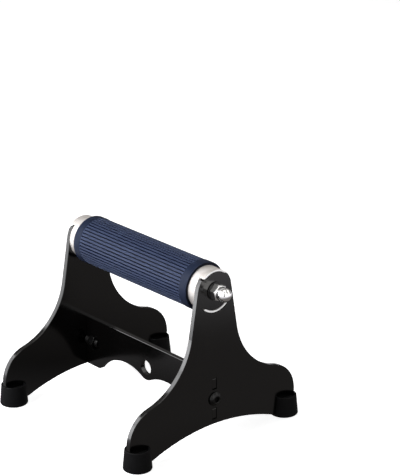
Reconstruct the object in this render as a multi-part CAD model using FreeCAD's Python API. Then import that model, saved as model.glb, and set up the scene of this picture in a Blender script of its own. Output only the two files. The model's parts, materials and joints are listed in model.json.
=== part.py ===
import FreeCAD, Part
import math
import os

# A parallette bar: a ribbed handle on a steel tube, carried by two sheet-metal side plates.
# X runs along the bar, -Y is the front, Z is up, and the feet stand on z = 0.
# All lengths are in millimetres and all angles in degrees.

# Side plates
sheet_thickness = 4.5
plate_gap = 166.3
plate_width = 184.8
bar_height = 136.3
arch_height = 15.7
tongue_flat = 6.7
shoulder_radius = 29.6
shoulder_height = 21.0
waist_radius = 61.0
neck_taper = 9.6
edge_break = 0.3

# Handle tube and the lips that lock it into the side plates
tube_diameter = 37.0
tube_wall = 1.5
lip_offset = 12.1
lip_gap = 1.4
lip_overhang = 0.6
head_clearance = 0.25
lip_slot_clearance = 0.2

# Grip sleeve
grip_wall = 2.45
grip_length = 149.8
grip_clearance = 0.05
collar_length = 8.2
collar_rise = 0.35
collar_rounding = 1.3
rib_count = 45
groove_depth = 0.95
groove_radius = 0.75

# Crossplate
cross_height = 45.5
cross_middle_height = 38.75
cross_arch_rise = 18.0
cross_arch_radius = 46.0
cross_toe_radius = 5.0
cross_hole_diameter = 13.4
cross_hole_rim = 5.0
tab_height = 9.8
tab_offset = 13.7
tab_recess = 0.3
tab_chamfer = 0.8
slot_clearance = 0.25

# Threaded fasteners
thread_diameter = 8.0
thread_clearance = 0.05
rod_hole_clearance = 0.2
turning_clearance = 0.05
hex_width = 13.0
hex_chamfer_angle = 30.0

# Washers
flat_washer_diameter = 16.0
flat_washer_thickness = 1.0
washer_bore_clearance = 0.2

# Cap nuts
cap_nut_height = 16.8
cap_nut_turn = -17.0
cap_hex_height = 6.5
cap_dome_diameter = 12.0
cap_end_wall = 4.0
cap_rod_gap = 1.0

# Crossplate screws and their captive nuts
screw_length = 20.0
screw_head_diameter = 12.4
screw_head_height = 3.2
screw_head_edge = 1.0
screw_head_flat = 6.4
screw_dome_share = 0.12
socket_width = 5.0
socket_depth = 2.2
captive_nut_height = 6.5
captive_nut_offset = 6.6
captive_nut_clearance = 0.15
screw_end_clearance = 1.0
screw_end_chamfer = 0.8

# Rubber feet
foot_inset = 10.1
foot_height = 18.2
foot_base_diameter = 25.0
foot_top_diameter = 21.6
foot_floor = 3.0
foot_edge_rounding = 1.4
foot_rim_width = 1.3
foot_rim_rounding = 0.45
foot_dish_depth = 2.6
foot_dish_draft = 0.6
foot_clearance = 0.05

# Distance that every cutting shape runs past the piece it cuts
overrun = 2.0

# Share of an edge's own rounding or chamfer within which two places count as one
match_share = 0.05

# Places that several pieces share
inner_face = plate_gap / 2
outer_face = inner_face + sheet_thickness
tube_radius = tube_diameter / 2
tube_bore_radius = tube_radius - tube_wall
head_radius = tube_bore_radius - head_clearance
tube_end = outer_face + lip_overhang
thread_radius = thread_diameter / 2
rod_hole_radius = thread_radius + rod_hole_clearance
nut_bore_radius = thread_radius + thread_clearance
cap_nut_face = outer_face + flat_washer_thickness + turning_clearance
cap_bore_end = cap_nut_face + cap_nut_height - cap_end_wall
captive_nut_face = inner_face - captive_nut_offset
screw_head_face = outer_face + turning_clearance
screw_end = screw_head_face - screw_length
cross_bottom = cross_middle_height - cross_height / 2
cross_top = cross_middle_height + cross_height / 2
tongue_radius = shoulder_height - foot_floor
foot_place = plate_width / 2 - foot_inset

X_AXIS = FreeCAD.Vector(1, 0, 0)
Y_AXIS = FreeCAD.Vector(0, 1, 0)
Z_AXIS = FreeCAD.Vector(0, 0, 1)
ORIGIN = FreeCAD.Vector(0, 0, 0)
BAR_CENTRE = FreeCAD.Vector(0, 0, bar_height)


def in_yz(across, up):
    """A point of a side plate's outline."""
    return FreeCAD.Vector(0, across, up)


def in_xz(along, up):
    """A point of the crossplate's outline."""
    return FreeCAD.Vector(along, 0, up)


def line(start, end):
    return Part.LineSegment(start, end).toShape()


def arc(place, centre, radius, start, end):
    """An arc from one angle to another about a centre, with place giving the outline's plane."""
    def at(angle):
        turn = math.radians(angle)
        return place(centre[0] + radius * math.cos(turn), centre[1] + radius * math.sin(turn))
    return Part.Arc(at(start), at((start + end) / 2), at(end)).toShape()


def direction(start, end):
    """The angle of the line from one centre to another."""
    return math.degrees(math.atan2(end[1] - start[1], end[0] - start[0]))


def closed_face(edges):
    return Part.Face(Part.Wire(Part.__sortEdges__(edges)))


def mirrored(edges, normal):
    """The edges of half an outline together with their mirror image."""
    return edges + [edge.mirror(ORIGIN, normal) for edge in edges]


def across_x(shape):
    """The same piece at the other end of the bar."""
    return shape.mirror(ORIGIN, X_AXIS)


def across_y(shape):
    """The same piece on the other side of the bar."""
    return shape.mirror(ORIGIN, Y_AXIS)


def slab(x_range, y_range, z_range):
    """A block between two limits on each axis."""
    corner = FreeCAD.Vector(x_range[0], y_range[0], z_range[0])
    sizes = [limits[1] - limits[0] for limits in (x_range, y_range, z_range)]
    return Part.makeBox(sizes[0], sizes[1], sizes[2], corner)


def rod_along_x(radius, start, end, height):
    """A round bar along X at a height."""
    return Part.makeCylinder(radius, end - start, FreeCAD.Vector(start, 0, height), X_AXIS)


def turned_about_x(points, height):
    """A solid turned about a line along X, from (x, radius) points."""
    profile = Part.makePolygon([in_xz(along, height + radius) for along, radius in points + points[:1]])
    return Part.Face(profile).revolve(FreeCAD.Vector(0, 0, height), X_AXIS, 360)


def hex_bar(width, start, end, height):
    """A hexagonal bar along X with two of its flats level."""
    corner_radius = width / math.sqrt(3)
    corners = []
    for index in range(6):
        turn = math.radians(60 * index)
        across = corner_radius * math.cos(turn)
        up = height + corner_radius * math.sin(turn)
        corners.append(FreeCAD.Vector(start, across, up))
    outline = Part.makePolygon(corners + corners[:1])
    return Part.Face(outline).extrude(X_AXIS * (end - start))


def hex_nut_blank(start, end, height):
    """A hexagon with its corners turned off at both ends."""
    flat_radius = hex_width / 2
    corner_radius = hex_width / math.sqrt(3)
    depth = (corner_radius - flat_radius) * math.tan(math.radians(hex_chamfer_angle))
    points = [(start, 0), (start, flat_radius), (start + depth, corner_radius)]
    points += [(end - depth, corner_radius), (end, flat_radius), (end, 0)]
    return hex_bar(hex_width, start, end, height).common(turned_about_x(points, height))


def with_broken_edges(plate, axis_name):
    """The sheet with a small chamfer along its outer outline on both faces."""
    limits = plate.BoundBox
    low = getattr(limits, axis_name + "Min")
    high = getattr(limits, axis_name + "Max")
    tolerance = edge_break * match_share
    edges = []
    for face in plate.Faces:
        box = face.BoundBox
        face_low = getattr(box, axis_name + "Min")
        face_high = getattr(box, axis_name + "Max")
        flat = face_high - face_low < tolerance
        if flat and (abs(face_low - low) < tolerance or abs(face_high - high) < tolerance):
            edges += face.OuterWire.Edges
    return plate.makeChamfer(edge_break, edges)


def side_plate_outline():
    """Half of a side plate's outline, from the arch under it to the top of its head."""
    tongue_centre = (plate_width / 2 - tongue_radius, shoulder_height)
    shoulder_centre = (plate_width / 2 - shoulder_radius, shoulder_height)
    arch_end = tongue_centre[0] - tongue_flat
    arch_rise = arch_height - foot_floor
    arch_radius = (arch_end ** 2 + arch_rise ** 2) / (2 * arch_rise)
    arch_centre = (0, arch_height - arch_radius)

    # The neck's straight edge touches the tube's circle, and the waist arc touches the neck and the shoulder.
    taper = math.radians(neck_taper)
    outward = (math.cos(taper), math.sin(taper))
    upward = (-math.sin(taper), math.cos(taper))
    neck_top = (tube_radius * outward[0], bar_height + tube_radius * outward[1])
    start = (neck_top[0] + waist_radius * outward[0], neck_top[1] + waist_radius * outward[1])
    offset = (start[0] - shoulder_centre[0], start[1] - shoulder_centre[1])
    along = offset[0] * upward[0] + offset[1] * upward[1]
    reach = waist_radius + shoulder_radius
    run = -along + math.sqrt(along ** 2 - offset[0] ** 2 - offset[1] ** 2 + reach ** 2)
    waist_centre = (start[0] + run * upward[0], start[1] + run * upward[1])
    waist_top = (waist_centre[0] - waist_radius * outward[0], waist_centre[1] - waist_radius * outward[1])
    lean = direction(shoulder_centre, waist_centre)

    bar_centre = (0, bar_height)
    step_height = bar_height + lip_offset
    step_turn = math.degrees(math.asin(lip_offset / tube_radius))
    step_half_width = math.sqrt(tube_radius ** 2 - lip_offset ** 2)
    head_turn = math.degrees(math.asin(lip_offset / head_radius))
    head_half_width = math.sqrt(head_radius ** 2 - lip_offset ** 2)
    arch_turn = direction(arch_centre, (arch_end, foot_floor))
    return [
        arc(in_yz, arch_centre, arch_radius, 90, arch_turn),
        line(in_yz(arch_end, foot_floor), in_yz(tongue_centre[0], foot_floor)),
        arc(in_yz, tongue_centre, tongue_radius, -90, 0),
        arc(in_yz, shoulder_centre, shoulder_radius, 0, lean),
        arc(in_yz, waist_centre, waist_radius, lean + 180, neck_taper + 180),
        line(in_yz(*waist_top), in_yz(*neck_top)),
        arc(in_yz, bar_centre, tube_radius, neck_taper, step_turn),
        line(in_yz(step_half_width, step_height), in_yz(head_half_width, step_height)),
        arc(in_yz, bar_centre, head_radius, head_turn, 90),
    ]


def make_side_plate():
    """The right side plate with its rod hole, lip slot, tab slots and screw hole."""
    face = closed_face(mirrored(side_plate_outline(), Y_AXIS))
    face.translate(X_AXIS * inner_face)
    plate = with_broken_edges(face.extrude(X_AXIS * sheet_thickness), "X")

    start = inner_face - overrun
    end = outer_face + overrun
    plate = plate.cut(rod_along_x(rod_hole_radius, start, end, bar_height))
    plate = plate.cut(rod_along_x(rod_hole_radius, start, end, cross_middle_height))

    slot = rod_along_x(tube_radius + lip_slot_clearance, start, end, bar_height)
    slot = slot.cut(rod_along_x(tube_bore_radius - lip_slot_clearance, start, end, bar_height))
    below_lip = (bar_height - tube_diameter, bar_height - lip_offset)
    below = slab((start, end), (-tube_diameter, tube_diameter), below_lip)
    plate = plate.cut(slot.common(below))

    half_slot = sheet_thickness / 2 + slot_clearance
    half_tab = tab_height / 2 + slot_clearance
    for offset in (-tab_offset, tab_offset):
        middle = cross_middle_height + offset
        tab_slot_height = (middle - half_tab, middle + half_tab)
        plate = plate.cut(slab((start, end), (-half_slot, half_slot), tab_slot_height))
    return plate


def crossplate_outline():
    """Half of the crossplate's outline, from the middle of its lower edge to the middle of its top."""
    lobe_centre = (0, cross_middle_height)
    lobe_radius = cross_hole_diameter / 2 + cross_hole_rim
    arch_centre_height = cross_bottom + cross_arch_rise - cross_arch_radius
    arch_reach = lobe_radius + cross_arch_radius
    arch_along = math.sqrt(arch_reach ** 2 - (cross_middle_height - arch_centre_height) ** 2)
    arch_centre = (arch_along, arch_centre_height)
    toe_centre_height = cross_bottom + cross_toe_radius
    toe_reach = cross_arch_radius + cross_toe_radius
    toe_along = arch_along + math.sqrt(toe_reach ** 2 - (toe_centre_height - arch_centre_height) ** 2)
    toe_centre = (toe_along, toe_centre_height)
    lobe_turn = direction(lobe_centre, arch_centre)
    toe_turn = direction(arch_centre, toe_centre)

    edges = [
        arc(in_xz, lobe_centre, lobe_radius, -90, lobe_turn),
        arc(in_xz, arch_centre, cross_arch_radius, lobe_turn + 180, toe_turn),
        arc(in_xz, toe_centre, cross_toe_radius, toe_turn + 180, 270),
    ]
    tab_end = outer_face - tab_recess
    corners = [(toe_along, cross_bottom), (inner_face, cross_bottom)]
    for offset in (-tab_offset, tab_offset):
        low = cross_middle_height + offset - tab_height / 2
        high = low + tab_height
        corners += [(inner_face, low), (tab_end - tab_chamfer, low), (tab_end, low + tab_chamfer)]
        corners += [(tab_end, high - tab_chamfer), (tab_end - tab_chamfer, high), (inner_face, high)]
    corners += [(inner_face, cross_top), (0, cross_top)]
    edges += [line(in_xz(*corners[i]), in_xz(*corners[i + 1])) for i in range(len(corners) - 1)]
    return edges


def make_crossplate():
    """The crossplate with its hole and, at each end, a T-slot for a screw and its nut."""
    face = closed_face(mirrored(crossplate_outline(), X_AXIS))
    face.translate(Y_AXIS * (-sheet_thickness / 2))
    plate = with_broken_edges(face.extrude(Y_AXIS * sheet_thickness), "Y")

    depth = sheet_thickness / 2 + overrun
    hole_start = FreeCAD.Vector(0, -depth, cross_middle_height)
    plate = plate.cut(Part.makeCylinder(cross_hole_diameter / 2, 2 * depth, hole_start, Y_AXIS))

    half_neck = rod_hole_radius
    half_pocket = hex_width / 2 + captive_nut_clearance
    pocket_end = captive_nut_face - captive_nut_height - captive_nut_clearance
    neck_height = (cross_middle_height - half_neck, cross_middle_height + half_neck)
    pocket_height = (cross_middle_height - half_pocket, cross_middle_height + half_pocket)
    neck = slab((screw_end - screw_end_clearance, outer_face), (-depth, depth), neck_height)
    pocket = slab((pocket_end, captive_nut_face), (-depth, depth), pocket_height)
    tee = neck.fuse(pocket)
    return plate.cut(tee).cut(across_x(tee))


def make_handle_tube():
    """The tube; between its upper lip and lower tab each end is cut back to the plate's inner face."""
    tube = rod_along_x(tube_radius, -tube_end, tube_end, bar_height)
    tube = tube.cut(rod_along_x(tube_bore_radius, -tube_end - overrun, tube_end + overrun, bar_height))
    half_notch = lip_offset + lip_gap
    notch_height = (bar_height - half_notch, bar_height + half_notch)
    notch = slab((inner_face, tube_end + overrun), (-tube_diameter, tube_diameter), notch_height)
    return tube.cut(notch).cut(across_x(notch))


def make_grip_sleeve():
    """The rubber sleeve: smooth collars at the ends, and lengthwise grooves that leave ribs between."""
    half = grip_length / 2
    bore = tube_radius + grip_clearance
    crest = bore + grip_wall
    collar = crest + collar_rise
    collar_start = half - collar_length
    points = [(0, bore), (half, bore), (half, collar), (collar_start, collar)]
    points += [(collar_start - collar_rise, crest), (0, crest)]
    sleeve = turned_about_x(points, bar_height)
    rims = [edge for edge in sleeve.Edges if rounds_collar(edge, half, collar)]
    sleeve = sleeve.makeFillet(collar_rounding, rims)
    sleeve = sleeve.fuse(across_x(sleeve)).removeSplitter()

    groove_end = collar_start - collar_rise - groove_radius
    groove_place = crest - groove_depth + groove_radius
    cutter = rod_along_x(groove_radius, -groove_end, groove_end, bar_height + groove_place)
    for end in (-groove_end, groove_end):
        ball_centre = FreeCAD.Vector(end, 0, bar_height + groove_place)
        cutter = cutter.fuse(Part.makeSphere(groove_radius, ball_centre))
    cutters = []
    for index in range(rib_count):
        groove = cutter.copy()
        groove.rotate(BAR_CENTRE, X_AXIS, 360 * index / rib_count)
        cutters.append(groove)
    return sleeve.cut(Part.makeCompound(cutters))


def rounds_collar(edge, place, radius):
    """Whether an edge is the circle at the outer corner of a collar."""
    tolerance = collar_rounding * match_share
    curve = edge.Curve
    if not isinstance(curve, Part.Circle):
        return False
    return abs(curve.Radius - radius) < tolerance and abs(curve.Center.x - place) < tolerance


def make_tie_rod():
    """The threaded rod, long enough to stop just short of the bottom of both nuts."""
    end = cap_bore_end - cap_rod_gap
    return rod_along_x(thread_radius, -end, end, bar_height)


def make_flat_washer():
    end = outer_face + flat_washer_thickness
    washer = rod_along_x(flat_washer_diameter / 2, outer_face, end, bar_height)
    bore = thread_radius + washer_bore_clearance
    return washer.cut(rod_along_x(bore, outer_face - overrun, end + overrun, bar_height))


def make_cap_nut():
    """A hexagon turned a little from level, with a domed cap, bored from its inner end."""
    start = cap_nut_face
    hex_end = start + cap_hex_height
    dome_radius = cap_dome_diameter / 2
    dome_place = start + cap_nut_height - dome_radius
    nut = hex_nut_blank(start, hex_end, bar_height)
    nut.rotate(BAR_CENTRE, X_AXIS, cap_nut_turn)
    nut = nut.fuse(rod_along_x(dome_radius, start + cap_hex_height / 2, dome_place, bar_height))
    nut = nut.fuse(Part.makeSphere(dome_radius, FreeCAD.Vector(dome_place, 0, bar_height)))
    bore = rod_along_x(nut_bore_radius, start - overrun, cap_bore_end, bar_height)
    return nut.cut(bore).removeSplitter()


def make_crossplate_screw():
    """A button-head screw with a hexagon socket, pointing inwards along X."""
    face = screw_head_face
    top = face + screw_head_height
    rim_radius = screw_head_diameter / 2
    flat_radius = screw_head_flat / 2
    rim = in_xz(face + screw_head_edge, cross_middle_height + rim_radius)
    crown = in_xz(top, cross_middle_height + flat_radius)
    chord = crown - rim
    bulge = FreeCAD.Vector(-chord.z, 0, chord.x) * screw_dome_share
    edges = [
        line(in_xz(face, cross_middle_height), in_xz(face, cross_middle_height + rim_radius)),
        line(in_xz(face, cross_middle_height + rim_radius), rim),
        Part.Arc(rim, (rim + crown) / 2 + bulge, crown).toShape(),
        line(crown, in_xz(top, cross_middle_height)),
        line(in_xz(top, cross_middle_height), in_xz(face, cross_middle_height)),
    ]
    head = closed_face(edges).revolve(FreeCAD.Vector(0, 0, cross_middle_height), X_AXIS, 360)
    socket = hex_bar(socket_width, top - socket_depth, top + overrun, cross_middle_height)
    end = screw_end
    shank_points = [(face, 0), (face, thread_radius), (end + screw_end_chamfer, thread_radius)]
    shank_points += [(end, thread_radius - screw_end_chamfer), (end, 0)]
    shank = turned_about_x(shank_points, cross_middle_height)
    return head.cut(socket).fuse(shank).removeSplitter()


def make_captive_nut():
    """A plain hexagon nut that bears on the T-slot's shoulders."""
    end = captive_nut_face
    start = end - captive_nut_height
    nut = hex_nut_blank(start, end, cross_middle_height)
    return nut.cut(rod_along_x(nut_bore_radius, start - overrun, end + overrun, cross_middle_height))


def make_foot():
    """The right back foot: a tapered rubber cup with a dished top and a slot for the plate's tongue."""
    base = foot_base_diameter / 2
    top = foot_top_diameter / 2
    dish_floor = foot_height - foot_dish_depth
    dish_edge = top - foot_rim_width
    profile = Part.makePolygon([
        in_xz(0, 0),
        in_xz(base, 0),
        in_xz(top, foot_height),
        in_xz(dish_edge, foot_height),
        in_xz(dish_edge - foot_dish_draft, dish_floor),
        in_xz(0, dish_floor),
        in_xz(0, 0),
    ])
    foot = Part.Face(profile).revolve(ORIGIN, Z_AXIS, 360)
    base_rims = [edge for edge in foot.Edges if is_level_ring(edge, 0)]
    foot = foot.makeFillet(foot_edge_rounding, base_rims)
    top_rims = [edge for edge in foot.Edges if is_level_ring(edge, foot_height)]
    foot = foot.makeFillet(foot_rim_rounding, top_rims)
    foot.translate(FreeCAD.Vector((inner_face + outer_face) / 2, foot_place, 0))

    # The slot follows the plate's tongue and is open upwards and towards the arch.
    half_slot = sheet_thickness / 2 + foot_clearance
    slot_bottom = foot_floor - foot_clearance
    slot_radius = tongue_radius + foot_clearance
    slot_centre = (plate_width / 2 - tongue_radius, shoulder_height)
    slot_side = foot_place - foot_base_diameter
    edges = [
        line(in_yz(slot_side, slot_bottom), in_yz(slot_centre[0], slot_bottom)),
        arc(in_yz, slot_centre, slot_radius, -90, 0),
        line(in_yz(slot_centre[0] + slot_radius, shoulder_height), in_yz(slot_side, shoulder_height)),
        line(in_yz(slot_side, shoulder_height), in_yz(slot_side, slot_bottom)),
    ]
    slot = closed_face(edges)
    slot.translate(X_AXIS * ((inner_face + outer_face) / 2 - half_slot))
    return foot.cut(slot.extrude(X_AXIS * (2 * half_slot)))


def is_level_ring(edge, height):
    """Whether an edge is a full circle at a height."""
    box = edge.BoundBox
    tolerance = foot_rim_rounding * match_share
    level = abs(box.ZMin - height) < tolerance and abs(box.ZMax - height) < tolerance
    return level and isinstance(edge.Curve, Part.Circle)


def write_piece(name, shape):
    """One solid, checked and written under its name."""
    if len(shape.Solids) != 1 or not shape.isValid():
        raise RuntimeError(name + " is not one valid solid")
    shape.Solids[0].exportStep("parts/" + name + ".step")


os.makedirs("parts", exist_ok=True)

write_piece("crossplate", make_crossplate())
write_piece("handle_tube", make_handle_tube())
write_piece("grip_sleeve", make_grip_sleeve())
write_piece("tie_rod", make_tie_rod())

end_pieces = {
    "side_plate": make_side_plate(),
    "flat_washer": make_flat_washer(),
    "cap_nut": make_cap_nut(),
    "crossplate_screw": make_crossplate_screw(),
    "captive_nut": make_captive_nut(),
    "back_foot": make_foot(),
    "front_foot": across_y(make_foot()),
}
for name, shape in end_pieces.items():
    write_piece("right_" + name, shape)
    write_piece("left_" + name, across_x(shape))
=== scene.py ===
import json
import math
from collections import namedtuple

import bmesh
import bpy
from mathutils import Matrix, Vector

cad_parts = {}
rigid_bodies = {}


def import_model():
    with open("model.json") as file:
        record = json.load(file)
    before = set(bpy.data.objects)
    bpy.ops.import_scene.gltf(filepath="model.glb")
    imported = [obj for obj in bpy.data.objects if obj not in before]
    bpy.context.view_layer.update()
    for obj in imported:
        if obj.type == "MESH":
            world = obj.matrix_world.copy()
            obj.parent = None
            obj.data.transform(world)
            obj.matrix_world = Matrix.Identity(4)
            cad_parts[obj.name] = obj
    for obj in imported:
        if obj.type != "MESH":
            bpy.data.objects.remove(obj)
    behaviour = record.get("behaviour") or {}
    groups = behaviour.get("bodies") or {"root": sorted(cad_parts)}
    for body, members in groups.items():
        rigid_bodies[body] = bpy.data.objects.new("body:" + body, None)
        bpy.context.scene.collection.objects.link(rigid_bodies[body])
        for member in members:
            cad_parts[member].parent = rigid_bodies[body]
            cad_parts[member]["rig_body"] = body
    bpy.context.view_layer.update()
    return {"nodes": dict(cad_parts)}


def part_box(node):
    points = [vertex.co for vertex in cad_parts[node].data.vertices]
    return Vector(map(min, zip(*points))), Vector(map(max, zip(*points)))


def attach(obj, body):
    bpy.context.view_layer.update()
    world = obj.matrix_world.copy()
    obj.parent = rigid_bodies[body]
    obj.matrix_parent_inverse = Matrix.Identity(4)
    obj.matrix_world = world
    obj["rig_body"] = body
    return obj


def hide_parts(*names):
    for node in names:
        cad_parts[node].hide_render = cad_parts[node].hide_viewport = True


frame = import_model()

# Lengths are in metres and angles in degrees, unless a name ends in MM or PX, and colours are linear.
# X runs along the bar, -Y is the front, Z is up and the feet stand on z = 0.
MM = 0.001

# The camera, in the photograph's frame of 400 by 475 pixels
IMAGE_WIDTH_PX = 400
IMAGE_HEIGHT_PX = 475
FOCAL_LENGTH_PX = 2094.0
CAMERA_AZIMUTH = 48.9428
CAMERA_ELEVATION = 20.3578
CAMERA_DISTANCE = 1.80833
TARGET = Vector((0, 0, 0.070))
TARGET_PX = (147.53, 333.68)
SENSOR_MM = 36.0

# Shading splits where two faces meet at more than this angle.
SHARP_ANGLE = 32.0

# Threads
THREAD_PITCH = 1.25 * MM
THREAD_DEPTH = 0.65 * MM
ROWS_PER_TURN = 10
ROD_COLUMNS = 24

# Grip sleeve
RIB_COUNT = 45
RIB_ANGLE = 360 / RIB_COUNT
GRIP_CLEARANCE = 0.05 * MM
COLLAR_LENGTH = 8.2 * MM
COLLAR_RISE = 0.35 * MM
COLLAR_ROUNDING = 1.0 * MM
GROOVE_DEPTH = 0.95 * MM
GROOVE_FLOOR_HALF = 0.30 * MM
GROOVE_EDGE_HALF = 0.68 * MM
GROOVE_RUNOUT = 0.5 * MM
WALL_STEPS = 4
RUNOUT_STEPS = 8
RISE_STEPS = 4
COLLAR_STEPS = 10

# Hexagon nuts, whose corner steps are angles from a corner to the middle of a side
HEX_WIDTH = 13.0 * MM
HEX_CHAMFER_ANGLE = 30.0
HEX_CHAMFER_REACH = 0.9 * MM
HEX_CHAMFER_STEPS = 8
HEX_CHAMFER_CROWDING = 1.3
CORNER_STEPS = (0, 0.7, 1.5, 2.6, 4.5, 8, 13, 20, 30)
NUT_BORE_GAP = 0.05 * MM
NUT_COUNTERSINK = 0.6 * MM
NUT_EDGE_ROUNDING = 0.22 * MM
CAP_NUT_TURN = -17.0
CAP_HEX_HEIGHT = 6.5 * MM
CAP_DOME_RADIUS = 6.0 * MM
CAP_END_WALL = 4.0 * MM
CAP_EDGE_ROUNDING = 0.9 * MM
CAP_NECK_HEIGHT = 0.35 * MM
CAP_NECK_WIDTH = 0.175 * MM
CAP_NECK_STEPS = 4
CAP_DOME_STEPS = 18

# Washers and screws
ROUND_COLUMNS = 72
WASHER_ROUNDING = 0.3 * MM
WASHER_BORE_GAP = 0.2 * MM
WASHER_STEPS = 6
SCREW_LENGTH = 20.0 * MM
SCREW_THREAD_RADIUS = 4.0 * MM
SCREW_END_CHAMFER = 0.8 * MM
SCREW_RIM_HEIGHT = 1.0 * MM
SCREW_RIM_ROUNDING = 0.25 * MM
SCREW_FLAT_RADIUS = 3.2 * MM
SCREW_DOME_BULGE = 0.45 * MM
SCREW_DOME_STEPS = 12
SOCKET_WIDTH = 5.0 * MM
SOCKET_DEPTH = 2.2 * MM
SOCKET_LEAD_IN = 0.25 * MM

# Noise in the finishes, whose values mostly lie between low and high
NOISE_LOW = 0.3
NOISE_HIGH = 0.7
NOISE_ROUGHNESS = 0.55

# Black coat of the plates
PLATE_SHADES = ((0.0007, 0.0006, 0.0006), (0.0012, 0.0011, 0.0010))
PLATE_ROUGHNESS = (0.11, 0.14)
PLATE_GRAIN_ROUGHNESS = (0.0, 0.05)
PLATE_SPECULAR = 0.75
PLATE_CLOUD = 38.0 * MM
PLATE_GRAIN = 0.9 * MM
PLATE_RELIEF = 0.003 * MM

# Brushed steel of the tube, whose cut ends are duller and carry a painted highlight that makes them paler
TUBE_SHADES = ((0.56, 0.53, 0.50), (0.71, 0.69, 0.67))
TUBE_ROUGHNESS = (0.58, 0.74)
TUBE_CLOUD = 9.0 * MM
TUBE_LINES = 6.0 * MM
TUBE_LINE_SQUEEZE = (40, 1, 1)
TUBE_RELIEF = 0.006 * MM
CUT_PAINTED_HIGHLIGHT = (0.95, 0.95, 0.95)
CUT_ROUGHNESS = 0.85
CUT_FACING_START = 0.80
CUT_FACING_END = 0.95

# Polished steel of the domed nuts
CHROME_SHADES = ((0.90, 0.90, 0.89), (0.97, 0.97, 0.96))
CHROME_ROUGHNESS = (0.12, 0.20)
CHROME_MARKS = 1.6 * MM
CHROME_RELIEF = 0.0005 * MM

# Dark plated steel of the captive nuts and the tie rod
STEEL_SHADES = ((0.006, 0.006, 0.006), (0.012, 0.012, 0.012))
STEEL_ROUGHNESS = (0.3, 0.45)
STEEL_CLOUD = 2.2 * MM
STEEL_RELIEF = 0.003 * MM

# Blackened steel of the washers and screws
OXIDE_SHADES = ((0.003, 0.003, 0.003), (0.006, 0.006, 0.006))
OXIDE_ROUGHNESS = (0.24, 0.38)
OXIDE_SPECULAR = 0.3
OXIDE_CLOUD = 1.4 * MM
OXIDE_RELIEF = 0.004 * MM

# Navy rubber of the grip, darker on the collars, with painted shade darkening the grooves
GRIP_SHADES = ((0.055, 0.074, 0.140), (0.068, 0.090, 0.165))
COLLAR_SHADE = (0.020, 0.029, 0.060)
GROOVE_PAINTED_SHADE = (0.006, 0.009, 0.024)
GROOVE_PAINTED_SHADE_START = 0.05 * MM
GROOVE_PAINTED_SHADE_END = 0.40 * MM
GRIP_ROUGHNESS = (0.32, 0.42)
GRIP_SPECULAR = 0.09
GRIP_CLOUD = 14.0 * MM
GRIP_GRAIN = 0.35 * MM
RUBBER_RELIEF = 0.012 * MM

# Charcoal rubber of the feet
FOOT_SHADES = ((0.0022, 0.0022, 0.0026), (0.0036, 0.0036, 0.0042))
FOOT_ROUGHNESS = (0.45, 0.60)
FOOT_SPECULAR = 0.12
FOOT_CLOUD = 7.0 * MM
FOOT_GRAIN = 0.4 * MM

# Floor, and the glowing sheet below it that stands for it in reflections, with painted shadow round the
# bar
FLOOR_HALF = 12.0
FLOOR_SHADES = ((0.90, 0.90, 0.90), (0.92, 0.92, 0.92))
FLOOR_CLOUD = 0.6
FLOOR_ROUGHNESS = 0.9
FLOOR_GLOW = 0.92
WHITE = (1.0, 1.0, 1.0)
BLACK = (0.0, 0.0, 0.0)
SHEET_DEPTH = 0.5 * MM
SHEET_FRONT_LEFT = -0.40
SHEET_PAINTED_SHADES = ((0.15, 0.14, 0.135), (0.95, 0.93, 0.97))
SHEET_PAINTED_SHADOW = Vector((0.12, 0.08, 0))
SHEET_NEAR = 0.17
SHEET_FAR = 0.45
SHEET_PAINTED_SHADE_UNDER_BAR = Vector((-0.06, -0.02, 0))
SHEET_UNDER_NEAR = 0.03
SHEET_UNDER_FAR = 0.20
SHEET_PAINTED_SHADE_SHARE = 0.4

# Room and studio light
ROOM_COLOUR = (1.0, 0.97, 0.94, 1.0)
ROOM_AT_HORIZON = 0.08
ROOM_OVERHEAD = 0.36
KEY_COLOUR = (0.98, 0.98, 1.0)
FILL_COLOUR = (1.0, 0.99, 0.98)
STUDIO_TARGET = (0, 0, 0.06)
GRIP_TARGET = (0, 0, 0.136)
Softbox = namedtuple("Softbox", "place aim width height radiance colour")

# Lights that show in reflections only: three at the left, then front, right, above, right rear and back
REFLECTED_LIGHTS = {
    "key_softbox": Softbox(
        place=(-0.4031, -0.5279, 0.335), aim=(0.0719, -0.0729, 0.335),
        width=0.117, height=0.67, radiance=2.9, colour=KEY_COLOUR,
    ),
    "wide_softbox": Softbox(
        place=(-0.516, -0.412, 0.4225), aim=(-0.041, 0.043, 0.4225),
        width=0.44, height=0.925, radiance=2.5, colour=KEY_COLOUR,
    ),
    "upper_softbox": Softbox(
        place=(-0.540, -0.388, 0.61), aim=(-0.065, 0.067, 0.61),
        width=0.30, height=0.31, radiance=1.1, colour=KEY_COLOUR,
    ),
    "front_panel": Softbox(
        place=(0.16, -0.95, 0.90), aim=(0.16, 0, 0.90),
        width=1.40, height=2.10, radiance=1.2, colour=KEY_COLOUR,
    ),
    "fill_panel": Softbox(
        place=(1.15, -0.30, 0.95), aim=(0, 0, 0.95),
        width=0.75, height=1.90, radiance=1.5, colour=FILL_COLOUR,
    ),
    "top_panel": Softbox(
        place=(0.20, -0.12, 2.05), aim=STUDIO_TARGET,
        width=1.40, height=1.20, radiance=1.0, colour=FILL_COLOUR,
    ),
    "side_panel": Softbox(
        place=(1.20, 0.75, 0.55), aim=(0, 0, 0.55),
        width=1.8, height=1.0, radiance=0.9, colour=FILL_COLOUR,
    ),
    "back_panel": Softbox(
        place=(0.35, 0.75, 0.85), aim=STUDIO_TARGET,
        width=0.90, height=0.60, radiance=0.9, colour=FILL_COLOUR,
    ),
}

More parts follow.
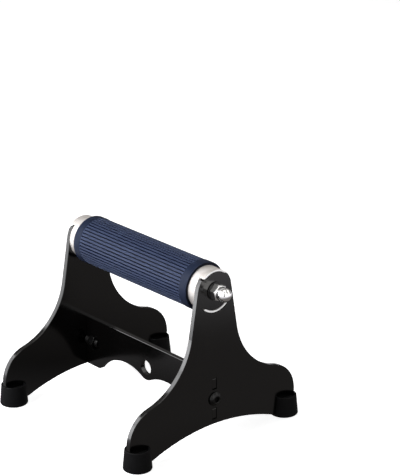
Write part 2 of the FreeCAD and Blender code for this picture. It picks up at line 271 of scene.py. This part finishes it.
# Lights on the matt pieces: a softbox above the front, and a weak one behind that reflections don't show
MAIN_SOFTBOX = Softbox(
    place=(-0.20, -1.00, 0.72), aim=GRIP_TARGET,
    width=0.45, height=0.45, radiance=24.0, colour=KEY_COLOUR,
)
BEHIND_SOFTBOX = Softbox(
    place=(0.10, 1.10, 0.35), aim=GRIP_TARGET,
    width=1.40, height=0.70, radiance=2.0, colour=FILL_COLOUR,
)


def smooth_step(low, high, value):
    """0 below low, 1 above high and a smooth rise between them."""
    share = min(max((value - low) / (high - low), 0), 1)
    return share * share * (3 - 2 * share)


def soft_min(first, second, width):
    """The smaller of two lengths, rounded over where they are nearly equal."""
    overlap = max(width - abs(first - second), 0) / width
    return min(first, second) - overlap * overlap * width / 4


def quarter_turn(steps):
    """Angles in radians from 0 to a right angle."""
    return [math.radians(90 * step / steps) for step in range(steps + 1)]


def node_axis(name):
    """The height of the X axis that a round node is turned about, and its radius across Z."""
    low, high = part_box(name)
    return (low.z + high.z) / 2, (high.z - low.z) / 2


def node_reach(name):
    """The end of the bar that a node is at, as 1 or -1, and how far it starts and ends from the middle."""
    low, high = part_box(name)
    near, far = sorted((abs(low.x), abs(high.x)))
    return 1 if high.x > 0 else -1, near, far


def ring_about_x(x, height, angles, radius_at):
    """Points round a line along X, with a radius for each angle."""
    points = []
    for angle in angles:
        turn = math.radians(angle)
        radius = radius_at(angle)
        points.append(Vector((x, radius * math.cos(turn), height + radius * math.sin(turn))))
    return points


def even_angles(count):
    """Evenly spaced angles round a circle."""
    return [360 * index / count for index in range(count)]


def hexagon_angles():
    """Angles round a hexagon, close together at its corners."""
    sector = list(CORNER_STEPS) + [60 - step for step in reversed(CORNER_STEPS[1:-1])]
    return [60 * index + step for index in range(6) for step in sector]


def hexagon_radius(width, angle):
    """The radius of a hexagon with a corner at angle 0."""
    return width / 2 / math.cos(math.radians(angle % 60 - 30))


def skin(name, rings, ends):
    """A mesh over closed rings of points, capped at both ends or joined from last ring to first."""
    mesh = bmesh.new()
    rows = [[mesh.verts.new(point) for point in ring] for ring in rings]
    pairs = list(zip(rows, rows[1:]))
    if ends == "joined":
        pairs.append((rows[-1], rows[0]))
    for first, second in pairs:
        for index in range(len(first)):
            after = (index + 1) % len(first)
            mesh.faces.new((first[index], first[after], second[after], second[index]))
    if ends == "capped":
        for row in (rows[0], rows[-1]):
            middle = mesh.verts.new(sum((vert.co for vert in row), Vector()) / len(row))
            for index in range(len(row)):
                mesh.faces.new((row[index], row[(index + 1) % len(row)], middle))
    return finished_mesh(name, mesh)


def finished_mesh(name, mesh):
    """The mesh as an object, smooth apart from its sharp edges."""
    bmesh.ops.recalc_face_normals(mesh, faces=mesh.faces)
    for face in mesh.faces:
        face.smooth = True
    for edge in mesh.edges:
        edge.smooth = edge.calc_face_angle(0) < math.radians(SHARP_ANGLE)
    data = bpy.data.meshes.new(name)
    mesh.to_mesh(data)
    mesh.free()
    piece = bpy.data.objects.new(name, data)
    bpy.context.scene.collection.objects.link(piece)
    return piece


def settle(piece, node, material):
    """The piece stands for a node, rides on that node's body and takes its finish."""
    piece.data.materials.append(material)
    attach(piece, frame["nodes"][node]["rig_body"])
    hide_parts(node)


def dress(node, material):
    """A better finish on a node that keeps its own shape."""
    for material_slot in frame["nodes"][node].material_slots:
        material_slot.material = material


class Finish:
    """A material's node tree, with short calls for the nodes that the finishes use."""

    def __init__(self, name):
        self.material = bpy.data.materials.new(name)
        self.material.use_nodes = True
        self.tree = self.material.node_tree
        self.shader = self.tree.nodes["Principled BSDF"]

    def node(self, kind, **settings):
        """A new node with some of its settings changed."""
        made = self.tree.nodes.new(kind)
        for key, value in settings.items():
            setattr(made, key, value)
        return made

    def put(self, socket, value):
        """Links an input to another node's output, or sets its value."""
        if isinstance(value, bpy.types.NodeSocket):
            self.tree.links.new(value, socket)
        elif socket.type == "RGBA":
            socket.default_value = (*value, 1)
        else:
            socket.default_value = value

    def feed(self, made, **values):
        """Sets or links a node's inputs, named with underscores for spaces."""
        for key, value in values.items():
            self.put(made.inputs[key.replace("_", " ")], value)

    def surface(self, **values):
        """Sets or links what the surface is made of."""
        self.feed(self.shader, **values)

    def place(self, squeeze=(1, 1, 1)):
        """The piece's own coordinates, squeezed along each axis."""
        coordinates = self.node("ShaderNodeTexCoord")
        mapping = self.node("ShaderNodeMapping")
        self.feed(mapping, Vector=coordinates.outputs["Object"], Scale=squeeze)
        return mapping.outputs["Vector"]

    def noise(self, size, detail, squeeze=(1, 1, 1)):
        """Noise with features of about the given size, from 0 to 1."""
        made = self.node("ShaderNodeTexNoise")
        self.feed(made, Vector=self.place(squeeze), Scale=1 / size)
        self.feed(made, Detail=detail, Roughness=NOISE_ROUGHNESS)
        return made.outputs["Fac"]

    def spread(self, value, low, high, start=NOISE_LOW, end=NOISE_HIGH):
        """A value between start and end, spread from low to high."""
        made = self.node("ShaderNodeMapRange")
        self.feed(made, Value=value, From_Min=start, From_Max=end, To_Min=low, To_Max=high)
        return made.outputs["Result"]

    def blend(self, factor, first, second):
        """A colour between two colours. The mix node's inputs share names, so they go by number."""
        made = self.node("ShaderNodeMix", data_type="RGBA")
        for index, value in ((0, factor), (6, first), (7, second)):
            self.put(made.inputs[index], value)
        return made.outputs[2]

    def mottle(self, noise, shades):
        """A colour that wanders between two shades."""
        return self.blend(self.spread(noise, 0, 1), *shades)

    def compute(self, operation, *values):
        """The result of a sum on one or two values."""
        made = self.node("ShaderNodeMath", operation=operation)
        for socket, value in zip(made.inputs, values):
            self.put(socket, value)
        return made.outputs["Value"]

    def split(self, vector):
        """The X, Y and Z outputs of a vector."""
        made = self.node("ShaderNodeSeparateXYZ")
        self.feed(made, Vector=vector)
        return made.outputs

    def facing(self, axis):
        """1 on surfaces square to an axis, 0 on those that turn away from it."""
        normal = self.node("ShaderNodeNewGeometry").outputs["True Normal"]
        square = self.compute("ABSOLUTE", self.split(normal)[axis])
        return self.spread(square, 0, 1, start=CUT_FACING_START, end=CUT_FACING_END)

    def from_bar(self, height):
        """The distance from the bar's axis, which runs along X at a height."""
        place = self.split(self.place())
        across = place["Y"]
        up = self.compute("SUBTRACT", place["Z"], height)
        squares = [self.compute("MULTIPLY", length, length) for length in (across, up)]
        return self.compute("SQRT", self.compute("ADD", *squares))

    def away(self, point):
        """The distance from a point."""
        made = self.node("ShaderNodeVectorMath", operation="DISTANCE")
        for socket, value in zip(made.inputs, (self.place(), point)):
            self.put(socket, value)
        return made.outputs["Value"]

    def bump(self, height, depth):
        """Small relief of a given depth."""
        made = self.node("ShaderNodeBump")
        self.feed(made, Height=height, Distance=depth, Strength=1.0)
        self.surface(Normal=made.outputs["Normal"])


def plate_finish():
    """Black coated sheet with a faint orange-peel and cloudy gloss."""
    finish = Finish("plate_black_coat")
    cloud = finish.noise(PLATE_CLOUD, detail=2.0)
    grain = finish.noise(PLATE_GRAIN, detail=2.0)
    gloss = finish.spread(cloud, *PLATE_ROUGHNESS)
    finish.surface(
        Base_Color=finish.mottle(cloud, PLATE_SHADES),
        Roughness=finish.compute("ADD", gloss, finish.spread(grain, *PLATE_GRAIN_ROUGHNESS)),
        Specular_IOR_Level=PLATE_SPECULAR,
    )
    finish.bump(grain, PLATE_RELIEF)
    return finish.material


def tube_finish():
    """Brushed steel with fine lines round the tube, and duller cut ends painted paler as a painted
    highlight.
    """
    finish = Finish("tube_steel_brushed")
    cut = finish.facing("X")
    lines = finish.noise(TUBE_LINES, detail=4.0, squeeze=TUBE_LINE_SQUEEZE)
    cloud = finish.noise(TUBE_CLOUD, detail=3.0)
    brushed = finish.spread(lines, *TUBE_ROUGHNESS)
    dulling = finish.compute("MULTIPLY", cut, finish.compute("SUBTRACT", CUT_ROUGHNESS, brushed))
    # Painted highlight: the faces square to the bar are painted near white
    finish.surface(
        Base_Color=finish.blend(cut, finish.mottle(cloud, TUBE_SHADES), CUT_PAINTED_HIGHLIGHT),
        Metallic=1.0,
        Roughness=finish.compute("ADD", brushed, dulling),
    )
    finish.bump(lines, TUBE_RELIEF)
    return finish.material


def chrome_finish():
    """Polished steel with faint handling marks."""
    finish = Finish("nut_chrome_polished")
    marks = finish.noise(CHROME_MARKS, detail=4.0)
    finish.surface(
        Base_Color=finish.mottle(marks, CHROME_SHADES),
        Metallic=1.0,
        Roughness=finish.spread(marks, *CHROME_ROUGHNESS),
    )
    finish.bump(marks, CHROME_RELIEF)
    return finish.material


def dark_steel_finish(name):
    """Dark plated steel, a little cloudy."""
    finish = Finish(name)
    cloud = finish.noise(STEEL_CLOUD, detail=4.0)
    finish.surface(
        Base_Color=finish.mottle(cloud, STEEL_SHADES),
        Metallic=1.0,
        Roughness=finish.spread(cloud, *STEEL_ROUGHNESS),
    )
    finish.bump(cloud, STEEL_RELIEF)
    return finish.material


def black_fastener_finish():
    """Blackened steel with a soft oily gloss."""
    finish = Finish("fastener_black_oxide")
    cloud = finish.noise(OXIDE_CLOUD, detail=4.0)
    finish.surface(
        Base_Color=finish.mottle(cloud, OXIDE_SHADES),
        Roughness=finish.spread(cloud, *OXIDE_ROUGHNESS),
        Specular_IOR_Level=OXIDE_SPECULAR,
    )
    finish.bump(cloud, OXIDE_RELIEF)
    return finish.material


def grip_finish():
    """Navy moulded rubber with a fine matt grain, and painted shade in the grooves set by the distance
    from the bar's axis.
    """
    finish = Finish("grip_rubber_navy")
    cloud = finish.noise(GRIP_CLOUD, detail=3.0)
    grain = finish.noise(GRIP_GRAIN, detail=2.0)
    height, collar = node_axis("grip_sleeve")
    crest = collar - COLLAR_RISE
    out = finish.from_bar(height)
    # Painted shade: the colour darkens from just under the crest towards the groove floors
    groove = finish.spread(out, 1, 0, start=crest - GROOVE_PAINTED_SHADE_END, end=crest - GROOVE_PAINTED_SHADE_START)
    smooth = finish.spread(out, 0, 1, start=crest, end=collar)
    rubber = finish.blend(smooth, finish.mottle(cloud, GRIP_SHADES), COLLAR_SHADE)
    finish.surface(
        Base_Color=finish.blend(groove, rubber, GROOVE_PAINTED_SHADE),
        Roughness=finish.spread(grain, *GRIP_ROUGHNESS),
        Specular_IOR_Level=GRIP_SPECULAR,
    )
    finish.bump(grain, RUBBER_RELIEF)
    return finish.material


def foot_finish():
    """Charcoal rubber, matt and slightly cloudy."""
    finish = Finish("foot_rubber_charcoal")
    cloud = finish.noise(FOOT_CLOUD, detail=4.0)
    grain = finish.noise(FOOT_GRAIN, detail=2.0)
    finish.surface(
        Base_Color=finish.mottle(cloud, FOOT_SHADES),
        Roughness=finish.spread(grain, *FOOT_ROUGHNESS),
        Specular_IOR_Level=FOOT_SPECULAR,
    )
    finish.bump(grain, RUBBER_RELIEF)
    return finish.material


def rib_angles(crest):
    """Angles round the ribs, close together over the walls of the grooves."""
    wall = GROOVE_EDGE_HALF - GROOVE_FLOOR_HALF
    across = [GROOVE_FLOOR_HALF + wall * step / WALL_STEPS for step in range(WALL_STEPS + 1)]
    turns = [math.degrees(place / crest) for place in across]
    sector = [0] + turns + [RIB_ANGLE / 2] + [RIB_ANGLE - turn for turn in reversed(turns)]
    return [RIB_ANGLE * index + turn for index in range(RIB_COUNT) for turn in sector]


def make_grip_sleeve(material):
    """The sleeve: rounded collars at the ends and lengthwise ribs with soft edges between them."""
    node = "grip_sleeve"
    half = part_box(node)[1].x
    height, collar = node_axis(node)
    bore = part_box("handle_tube")[1].y + GRIP_CLEARANCE
    crest = collar - COLLAR_RISE
    collar_start = half - COLLAR_LENGTH
    groove_end = collar_start - COLLAR_RISE
    angles = rib_angles(crest)

    def groove(angle):
        """The groove's depth at an angle, with grooves centred on multiples of the rib angle."""
        from_middle = abs((angle + RIB_ANGLE / 2) % RIB_ANGLE - RIB_ANGLE / 2)
        across = math.radians(from_middle) * crest
        return GROOVE_DEPTH * (1 - smooth_step(GROOVE_FLOOR_HALF, GROOVE_EDGE_HALF, across))

    def profile(x):
        """The ungrooved radius at a place along the bar."""
        rounded = max(x - (half - COLLAR_ROUNDING), 0)
        round_off = COLLAR_ROUNDING - math.sqrt(max(COLLAR_ROUNDING ** 2 - rounded ** 2, 0))
        return crest + COLLAR_RISE * smooth_step(groove_end, collar_start, x) - round_off

    places = [0, groove_end / 3, 2 * groove_end / 3]
    places += [groove_end - GROOVE_RUNOUT * (1 - step / RUNOUT_STEPS) for step in range(RUNOUT_STEPS + 1)]
    places += [groove_end + COLLAR_RISE * step / RISE_STEPS for step in range(1, RISE_STEPS + 1)]
    places += [(collar_start + half - COLLAR_ROUNDING) / 2]
    places += [half - COLLAR_ROUNDING * (1 - math.sin(turn)) for turn in quarter_turn(COLLAR_STEPS)]
    places = [-x for x in reversed(places)] + places[1:]

    rings = []
    for x in places:
        runout = 1 - smooth_step(groove_end - GROOVE_RUNOUT, groove_end, abs(x))
        radius = profile(abs(x))
        rings.append(ring_about_x(x, height, angles, lambda angle: radius - runout * groove(angle)))
    for x in (half, -half):
        rings.append(ring_about_x(x, height, angles, lambda angle: bore))
    piece = skin("grip_sleeve_ribbed", rings, "joined")
    settle(piece, node, material)


def thread_radius(x, angle, radius):
    """The radius of a right-hand thread at a place along X and an angle."""
    phase = 2 * math.pi * x / THREAD_PITCH - math.radians(angle)
    return radius - THREAD_DEPTH * (0.5 - 0.5 * math.cos(phase))


def thread_places(start, end):
    """Evenly spaced places along a thread."""
    count = max(2, round(abs(end - start) / THREAD_PITCH * ROWS_PER_TURN))
    return [start + (end - start) * index / count for index in range(count + 1)]


def make_tie_rod(material):
    """The rod, threaded from end to end, with both ends tapered."""
    node = "tie_rod"
    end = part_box(node)[1].x
    height, radius = node_axis(node)
    angles = even_angles(ROD_COLUMNS)
    rings = []
    for x in thread_places(-end, end):
        taper = radius - SCREW_END_CHAMFER + end - abs(x)
        ring = ring_about_x(x, height, angles, lambda angle: min(taper, thread_radius(x, angle, radius)))
        rings.append(ring)
    settle(skin("tie_rod_threaded", rings, "capped"), node, material)


def nut_radius(angle, from_end, rounding):
    """The radius of a chamfered hexagon at a distance from its nearer end."""
    cone = HEX_WIDTH / 2 + from_end / math.tan(math.radians(HEX_CHAMFER_ANGLE))
    return soft_min(hexagon_radius(HEX_WIDTH, angle), cone, rounding)


def hexagon_places(height):
    """Places along a hexagon, close together over the chamfers at its ends."""
    shares = [step / HEX_CHAMFER_STEPS for step in range(HEX_CHAMFER_STEPS + 1)]
    chamfer = [HEX_CHAMFER_REACH * share ** HEX_CHAMFER_CROWDING for share in shares]
    return chamfer + [height / 2] + [height - place for place in reversed(chamfer)]


def make_cap_nut(side, material):
    """A domed nut: chamfered hexagon, a small fillet and a half-round dome."""
    node = side + "_cap_nut"
    sign, face, end = node_reach(node)
    total = end - face
    height, rod = node_axis("tie_rod")
    bore = rod + NUT_BORE_GAP
    angles = [angle + CAP_NUT_TURN for angle in hexagon_angles()]
    dome_place = total - CAP_DOME_RADIUS

    def ring(place, radius_at):
        """Points round the nut at a distance from its flat face."""
        return ring_about_x(sign * (face + place), height, angles, radius_at)

    rings = [ring(total - CAP_END_WALL, lambda angle: bore)]
    rings.append(ring(NUT_COUNTERSINK, lambda angle: bore))
    rings.append(ring(0, lambda angle: bore + NUT_COUNTERSINK))
    for place in hexagon_places(CAP_HEX_HEIGHT):
        from_end = min(place, CAP_HEX_HEIGHT - place)
        rounding = NUT_EDGE_ROUNDING if place < CAP_HEX_HEIGHT / 2 else CAP_EDGE_ROUNDING
        rings.append(ring(place, lambda angle: nut_radius(angle - CAP_NUT_TURN, from_end, rounding)))
    for turn in quarter_turn(CAP_NECK_STEPS):
        radius = CAP_DOME_RADIUS + CAP_NECK_WIDTH * (1 - math.sin(turn))
        place = CAP_HEX_HEIGHT + CAP_NECK_HEIGHT * (1 - math.cos(turn))
        rings.append(ring(place, lambda angle: radius))
    for turn in quarter_turn(CAP_DOME_STEPS)[:-1]:
        radius = CAP_DOME_RADIUS * math.cos(turn)
        rings.append(ring(dome_place + CAP_DOME_RADIUS * math.sin(turn), lambda angle: radius))
    settle(skin(node + "_domed", rings, "capped"), node, material)


def make_captive_nut(side, material):
    """A plain hexagon nut, chamfered and countersunk at both ends."""
    node = side + "_captive_nut"
    low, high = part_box(node)
    total = high.x - low.x
    height = node_axis(node)[0]
    bore = SCREW_THREAD_RADIUS + NUT_BORE_GAP
    angles = hexagon_angles()

    def ring(place, radius_at):
        """Points round the nut at a distance from its left face."""
        return ring_about_x(low.x + place, height, angles, radius_at)

    rings = [ring(NUT_COUNTERSINK, lambda angle: bore)]
    rings.append(ring(0, lambda angle: bore + NUT_COUNTERSINK))
    for place in hexagon_places(total):
        from_end = min(place, total - place)
        rings.append(ring(place, lambda angle: nut_radius(angle, from_end, NUT_EDGE_ROUNDING)))
    rings.append(ring(total, lambda angle: bore + NUT_COUNTERSINK))
    rings.append(ring(total - NUT_COUNTERSINK, lambda angle: bore))
    settle(skin(node + "_hex", rings, "joined"), node, material)


def washer_section(bore, radius, start, end):
    """A washer's section as (x, radius) points: square at the bore and rounded outside."""
    corner = []
    for turn in quarter_turn(WASHER_STEPS):
        across = WASHER_ROUNDING * (1 - math.cos(turn))
        corner.append((across, radius - WASHER_ROUNDING * (1 - math.sin(turn))))
    rising = [(start + across, out) for across, out in corner]
    falling = [(end - across, out) for across, out in reversed(corner)]
    return [(start, bore)] + rising + falling + [(end, bore)]


def make_flat_washer(side, material):
    """A punched washer with rounded outer edges."""
    node = side + "_flat_washer"
    low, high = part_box(node)
    height, rod = node_axis("tie_rod")
    angles = even_angles(ROUND_COLUMNS)
    rings = []
    for x, radius in washer_section(rod + WASHER_BORE_GAP, high.y, low.x, high.x):
        rings.append(ring_about_x(x, height, angles, lambda angle: radius))
    settle(skin(node + "_punched", rings, "joined"), node, material)


def make_screw(side, material):
    """A button-head screw: threaded shank, domed head and hexagon socket."""
    node = side + "_crossplate_screw"
    sign, end, head_top = node_reach(node)
    face = end + SCREW_LENGTH
    height, rim = node_axis(node)
    radius = SCREW_THREAD_RADIUS
    angles = even_angles(ROUND_COLUMNS)

    def ring(place, radius_at):
        """Points round the screw at a distance from the bar's middle."""
        return ring_about_x(sign * place, height, angles, radius_at)

    def socket(angle):
        """The radius of the hexagon socket."""
        return hexagon_radius(SOCKET_WIDTH, angle)

    rings = []
    for place in thread_places(end, face - THREAD_PITCH):
        taper = radius - SCREW_END_CHAMFER + place - end
        x = sign * place
        rings.append(ring(place, lambda angle: min(taper, thread_radius(x, angle, radius))))
    rings.append(ring(face, lambda angle: radius))
    rings.append(ring(face, lambda angle: rim - SCREW_RIM_ROUNDING))
    rings.append(ring(face + SCREW_RIM_ROUNDING, lambda angle: rim))
    rise = head_top - face - SCREW_RIM_HEIGHT
    inward = rim - SCREW_FLAT_RADIUS
    slope = math.hypot(rise, inward)
    for step in range(SCREW_DOME_STEPS + 1):
        share = step / SCREW_DOME_STEPS
        bulge = SCREW_DOME_BULGE * 4 * share * (1 - share)
        place = face + SCREW_RIM_HEIGHT + rise * share + bulge * inward / slope
        dome = rim - inward * share + bulge * rise / slope
        rings.append(ring(min(place, head_top), lambda angle: min(dome, rim)))
    mouth = socket(0) + SOCKET_LEAD_IN
    rings.append(ring(head_top, lambda angle: mouth))
    rings.append(ring(head_top - SOCKET_LEAD_IN, socket))
    rings.append(ring(head_top - SOCKET_DEPTH, socket))
    settle(skin(node + "_button", rings, "capped"), node, material)


def make_floor_sheet(name, low, height):
    """A wide level sheet from a front left corner, and its finish."""
    mesh = bmesh.new()
    corners = [(low, low), (FLOOR_HALF, low), (FLOOR_HALF, FLOOR_HALF), (low, FLOOR_HALF)]
    mesh.faces.new([mesh.verts.new((x, y, height)) for x, y in corners])
    sheet = finished_mesh(name, mesh)
    finish = Finish(name + "_finish")
    finish.surface(Roughness=FLOOR_ROUGHNESS, Specular_IOR_Level=0.0)
    sheet.data.materials.append(finish.material)
    sheet.visible_diffuse = False
    sheet.visible_shadow = False
    return sheet, finish


def make_floor():
    """A pale floor under the feet, which the camera sees and reflections don't."""
    floor, finish = make_floor_sheet("studio_floor", -FLOOR_HALF, 0.0)
    cloud = finish.noise(FLOOR_CLOUD, detail=2.0)
    finish.surface(
        Base_Color=finish.mottle(cloud, FLOOR_SHADES),
        Emission_Color=WHITE,
        Emission_Strength=FLOOR_GLOW,
    )
    floor.visible_glossy = False


def make_reflection_sheet():
    """A glowing sheet that stands for the floor in reflections, with the bar's shadow painted on it as a
    dimmer glow.
    """
    sheet, finish = make_floor_sheet("studio_reflection_sheet", SHEET_FRONT_LEFT, -SHEET_DEPTH)
    # Painted shadow: the glow is darker near a point behind the bar and dimmer still under the bar
    far = finish.spread(finish.away(SHEET_PAINTED_SHADOW), 0, 1, start=SHEET_NEAR, end=SHEET_FAR)
    under = finish.away(SHEET_PAINTED_SHADE_UNDER_BAR)
    painted_shade_glow = finish.spread(under, SHEET_PAINTED_SHADE_SHARE, 1, start=SHEET_UNDER_NEAR, end=SHEET_UNDER_FAR)
    finish.surface(
        Base_Color=BLACK,
        Emission_Color=finish.blend(far, *SHEET_PAINTED_SHADES),
        Emission_Strength=painted_shade_glow,
    )
    sheet.visible_camera = False


def add_softbox(name, box):
    """A soft rectangular light aimed at a point."""
    data = bpy.data.lights.new(name, "AREA")
    data.shape = "RECTANGLE"
    data.size = box.width
    data.size_y = box.height
    data.energy = box.radiance * math.pi * box.width * box.height
    data.color = box.colour
    light = bpy.data.objects.new(name, data)
    light.location = box.place
    light.rotation_euler = (Vector(box.aim) - Vector(box.place)).to_track_quat("-Z", "Y").to_euler()
    light.visible_camera = False
    bpy.context.scene.collection.objects.link(light)
    return light


def make_room():
    """A dim room, a little brighter overhead, that shows in reflections only."""
    world = bpy.data.worlds.new("studio_room")
    bpy.context.scene.world = world
    world.use_nodes = True
    tree = world.node_tree
    split = tree.nodes.new("ShaderNodeSeparateXYZ")
    tree.links.new(tree.nodes.new("ShaderNodeTexCoord").outputs["Generated"], split.inputs[0])
    rise = tree.nodes.new("ShaderNodeMapRange")
    tree.links.new(split.outputs["Z"], rise.inputs["Value"])
    rise.inputs["To Min"].default_value = ROOM_AT_HORIZON
    rise.inputs["To Max"].default_value = ROOM_OVERHEAD
    background = tree.nodes["Background"]
    background.inputs["Color"].default_value = ROOM_COLOUR
    tree.links.new(rise.outputs["Result"], background.inputs["Strength"])
    world.cycles_visibility.diffuse = False


def light_studio():
    """Softboxes and pale panels for the reflections, two softboxes for the rest, and the room."""
    for name, box in REFLECTED_LIGHTS.items():
        add_softbox(name, box).visible_diffuse = False
    add_softbox("main_softbox", MAIN_SOFTBOX)
    add_softbox("behind_softbox", BEHIND_SOFTBOX).visible_glossy = False
    make_room()
    bpy.context.scene.view_settings.view_transform = "Standard"


def add_camera():
    """The photograph's camera: its direction, distance and focal length, with the target off centre."""
    azimuth = math.radians(CAMERA_AZIMUTH)
    elevation = math.radians(CAMERA_ELEVATION)
    level = math.cos(elevation)
    back = Vector((math.sin(azimuth) * level, -math.cos(azimuth) * level, math.sin(elevation)))
    right = Vector((math.cos(azimuth), math.sin(azimuth), 0))
    up = back.cross(right)
    across = (TARGET_PX[0] - IMAGE_WIDTH_PX / 2) / FOCAL_LENGTH_PX * CAMERA_DISTANCE
    above = (IMAGE_HEIGHT_PX / 2 - TARGET_PX[1]) / FOCAL_LENGTH_PX * CAMERA_DISTANCE
    data = bpy.data.cameras.new("photo_camera")
    data.sensor_width = SENSOR_MM
    data.lens = FOCAL_LENGTH_PX * SENSOR_MM / max(IMAGE_WIDTH_PX, IMAGE_HEIGHT_PX)
    camera = bpy.data.objects.new("photo_camera", data)
    camera.location = TARGET + back * CAMERA_DISTANCE - right * across - up * above
    camera.rotation_euler = back.to_track_quat("Z", "Y").to_euler()
    bpy.context.scene.collection.objects.link(camera)
    bpy.context.scene.camera = camera


plate_black = plate_finish()
for node in ("left_side_plate", "right_side_plate", "crossplate"):
    dress(node, plate_black)
dress("handle_tube", tube_finish())

foot_rubber = foot_finish()
fastener_black = black_fastener_finish()
nut_chrome = chrome_finish()
nut_steel = dark_steel_finish("nut_steel_zinc")
for side in ("left", "right"):
    for end in ("front", "back"):
        dress(side + "_" + end + "_foot", foot_rubber)
    make_flat_washer(side, fastener_black)
    make_cap_nut(side, nut_chrome)
    make_screw(side, fastener_black)
    make_captive_nut(side, nut_steel)
make_tie_rod(dark_steel_finish("rod_steel_zinc"))
make_grip_sleeve(grip_finish())

make_floor()
make_reflection_sheet()
light_studio()
add_camera()
